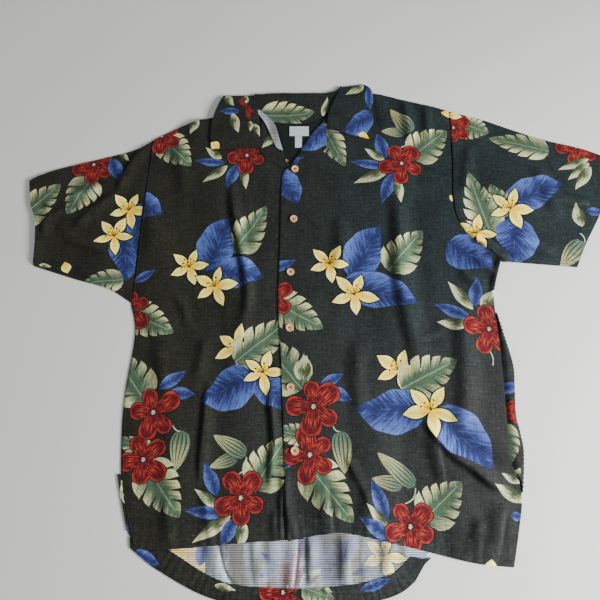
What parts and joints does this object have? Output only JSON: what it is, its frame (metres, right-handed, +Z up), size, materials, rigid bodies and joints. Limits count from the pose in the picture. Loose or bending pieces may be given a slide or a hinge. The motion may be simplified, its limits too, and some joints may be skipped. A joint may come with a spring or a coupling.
{
  "type": "hawaiian shirt",
  "caption": "Short-sleeved camp-collar shirt in dark cloth printed with flowers and leaves, buttoned and laid flat face up.",
  "frame": {"origin": "where the button line crosses the chest line, on the flat underside of the back, which is the surface the shirt lies on", "axes": "+Z up from the surface, out of the shirt's front; +Y towards the collar; +X towards the wearer's left sleeve"},
  "size_m": [1.052, 0.8853, 0.0126],
  "materials": {
    "printed_cloth": "dark charcoal green slubby plain weave, printed with flowers and leaves, slight sheen",
    "yoke_lining_cloth": "plain dark green lining cloth",
    "woven_label": "pale woven label, bare",
    "button_wood": "pale polished wood",
    "collar_button_brass": "satin gilt"
  },
  "bodies": {
    "root": {"back_panel": "printed_cloth", "back_hem_turn": "printed_cloth", "back_vent_turn": "printed_cloth", "back_side_roll": "printed_cloth", "front_right": "printed_cloth", "front_left": "printed_cloth", "sleeve_right": "printed_cloth", "sleeve_left": "printed_cloth", "yoke_lining": "yoke_lining_cloth", "collar": "printed_cloth", "facing_right": "printed_cloth", "facing_left": "printed_cloth", "neck_label": "woven_label", "size_label": "woven_label", "collar_button": "collar_button_brass", "button_1": "button_wood", "button_2": "button_wood", "button_3": "button_wood", "button_4": "button_wood", "button_5": "button_wood", "button_6": "button_wood"}
  },
  "joints": []
}
